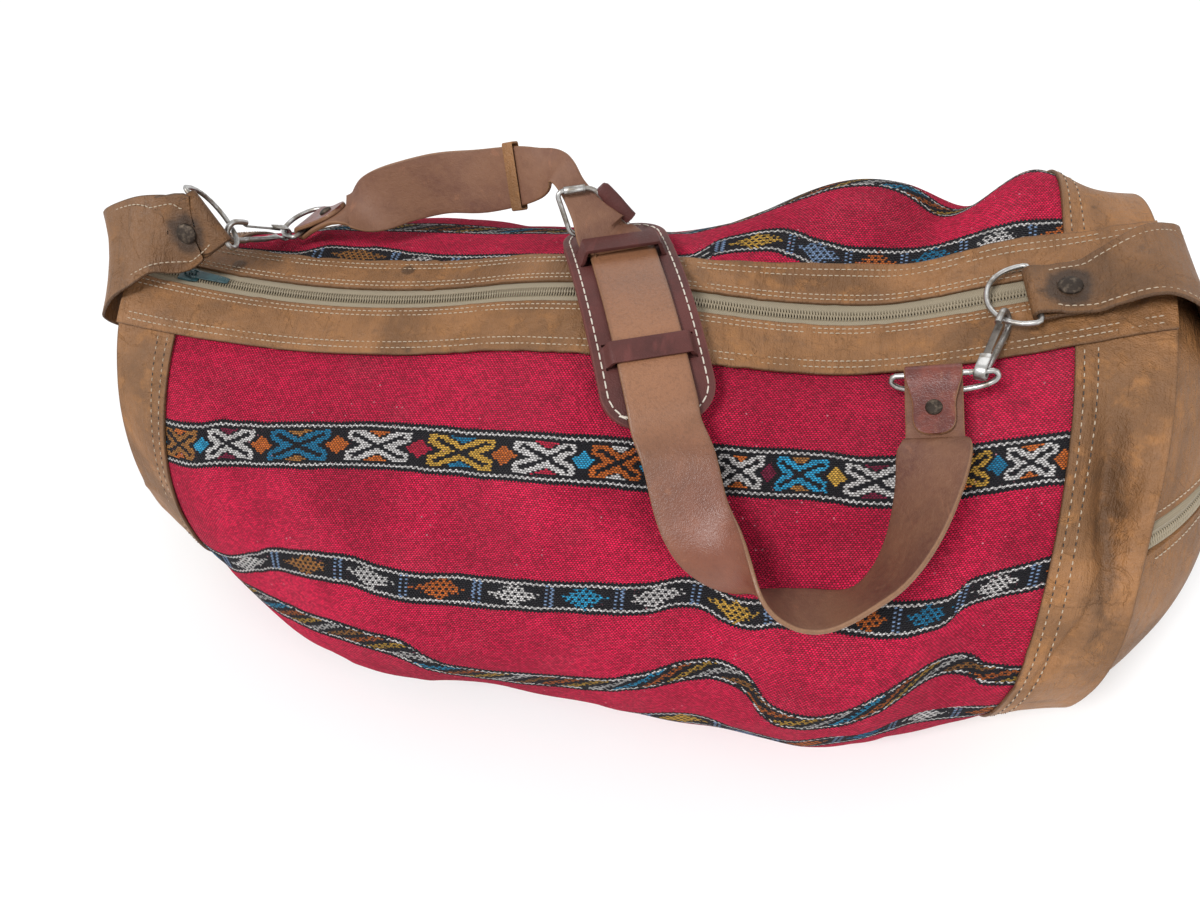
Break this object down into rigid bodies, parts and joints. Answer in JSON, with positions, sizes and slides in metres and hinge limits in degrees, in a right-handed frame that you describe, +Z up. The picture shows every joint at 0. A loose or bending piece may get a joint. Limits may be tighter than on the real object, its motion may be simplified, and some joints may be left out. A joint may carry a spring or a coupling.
{
  "type": "kilim duffle bag",
  "caption": "Soft barrel duffle bag of patterned woven wool with leather ends and top bands, a coil zip, an end pocket, and a clip-on padded shoulder strap.",
  "frame": {"origin": "on the ground, under the middle of the flat belly that the bag rests on", "axes": "+X along the bag to the pocket end, -Y to the front, +Z up"},
  "size_m": [0.6896, 0.3506, 0.2848],
  "materials": {
    "kilim_wool": "rough woven wool",
    "tan_leather": "worn, semi-matt",
    "strap_leather": "worn, semi-matt",
    "pad_leather": "waxed, semi-matt",
    "zip_tape": "woven tape and nylon coil",
    "slider_paint": "worn enamel",
    "nickel_steel": "polished, lightly tarnished",
    "gate_steel": "dull",
    "antique_rivet": "dark antique"
  },
  "bodies": {
    "bag": {"buckle_frame": "nickel_steel", "buckle_side_roll": "pad_leather", "kilim_body": "kilim_wool", "left_end_panel": "tan_leather", "left_end_wrap": "tan_leather", "left_strap_rivet": "antique_rivet", "left_tab": "tan_leather", "left_tab_rivet": "antique_rivet", "pad_lining": "pad_leather", "pad_top": "pad_leather", "pocket_zip_lower": "zip_tape", "pocket_zip_upper": "zip_tape", "right_end_pocket_panel": "tan_leather", "right_end_upper_panel": "tan_leather", "right_end_wrap": "tan_leather", "right_strap_rivet": "antique_rivet", "right_tab": "tan_leather", "right_tab_rivet": "antique_rivet", "strap_keeper": "tan_leather", "strap_lower": "strap_leather", "strap_upper": "strap_leather", "top_band_front": "tan_leather", "top_band_rear": "tan_leather", "zip_coil_front": "zip_tape", "zip_coil_rear": "zip_tape", "zip_tape_front": "zip_tape", "zip_tape_rear": "zip_tape"},
    "zip_slider": {"zip_slider": "slider_paint"},
    "zip_pull": {"zip_pull": "slider_paint"},
    "pocket_slider": {"pocket_slider": "slider_paint"},
    "pocket_pull": {"pocket_pull": "slider_paint"},
    "left_ring": {"left_ring": "nickel_steel"},
    "left_strap_ring": {"left_strap_ring": "nickel_steel"},
    "right_ring": {"right_ring": "nickel_steel"},
    "right_strap_ring": {"right_strap_ring": "nickel_steel"},
    "left_hook": {"left_hook": "nickel_steel"},
    "left_hook_gate": {"left_hook_gate": "gate_steel"},
    "right_hook": {"right_hook": "nickel_steel"},
    "right_hook_gate": {"right_hook_gate": "gate_steel"},
    "buckle_roller": {"buckle_roller": "nickel_steel"}
  },
  "joints": [
    {"name": "zip_slider_travel", "type": "hinge", "parent": "bag", "child": "zip_slider", "pos_m": [-0.195, -0.005, 0.6825], "axis": [0, -1, 0], "range_deg": [0, 21.5]},
    {"name": "zip_pull_flip", "type": "hinge", "parent": "zip_slider", "child": "zip_pull", "pos_m": [-0.26601, -0.005, 0.21112], "axis": [0, -1, 0], "range_deg": [0, 40]},
    {"name": "pocket_slider_travel", "type": "hinge", "parent": "bag", "child": "pocket_slider", "pos_m": [0.20969, 0.02692, 0.178], "axis": [0, 0, -1], "range_deg": [0, 80]},
    {"name": "pocket_pull_flip", "type": "hinge", "parent": "pocket_slider", "child": "pocket_pull", "pos_m": [0.32241, 0.13137, 0.17924], "axis": [-0.2766, -0.2563, 0.9262], "range_deg": [0, 80]},
    {"name": "left_ring_swing", "type": "hinge", "parent": "bag", "child": "left_ring", "pos_m": [-0.246, 0.0065, 0.2464], "axis": [0.5953, -0.3282, -0.7334], "range_deg": [-2, 2.5]},
    {"name": "left_strap_ring_swing", "type": "hinge", "parent": "bag", "child": "left_strap_ring", "pos_m": [-0.212, 0.062, 0.2065], "axis": [-0.289, -0.9568, 0.031], "range_deg": [-3, 2]},
    {"name": "right_ring_swing", "type": "hinge", "parent": "bag", "child": "right_ring", "pos_m": [0.2336, 0.009, 0.2505], "axis": [0.09, -0.9936, -0.068], "range_deg": [-1, 2]},
    {"name": "right_strap_ring_swing", "type": "hinge", "parent": "bag", "child": "right_strap_ring", "pos_m": [0.187, -0.0462, 0.2366], "axis": [0.9596, -0.03, 0.2799], "range_deg": [-0.3, 1]},
    {"name": "left_hook_swing", "type": "hinge", "parent": "left_strap_ring", "child": "left_hook", "pos_m": [-0.22914, 0.05146, 0.20421], "axis": [-0.5364, 0.8256, -0.1751], "range_deg": [-2, 2]},
    {"name": "left_gate", "type": "hinge", "parent": "left_hook", "child": "left_hook_gate", "pos_m": [-0.23097, 0.04824, 0.20965], "axis": [0.8693, -0.4891, 0.0716], "range_deg": [0, 10], "stiffness_Nm_per_rad": 0.01},
    {"name": "right_hook_swing", "type": "hinge", "parent": "right_strap_ring", "child": "right_hook", "pos_m": [0.20446, -0.04675, 0.24169], "axis": [0.9596, -0.03, 0.2799], "range_deg": [-0.3, 1]},
    {"name": "right_gate", "type": "hinge", "parent": "right_hook", "child": "right_hook_gate", "pos_m": [0.20571, -0.04099, 0.24464], "axis": [-0.8142, 0.3336, -0.4752], "range_deg": [0, 10], "stiffness_Nm_per_rad": 0.01},
    {"name": "buckle_roller_spin", "type": "hinge", "parent": "bag", "child": "buckle_roller", "pos_m": [-0.02244, 0.03319, 0.27174], "axis": [0.9292, 0.3696, 0], "continuous": true}
  ]
}
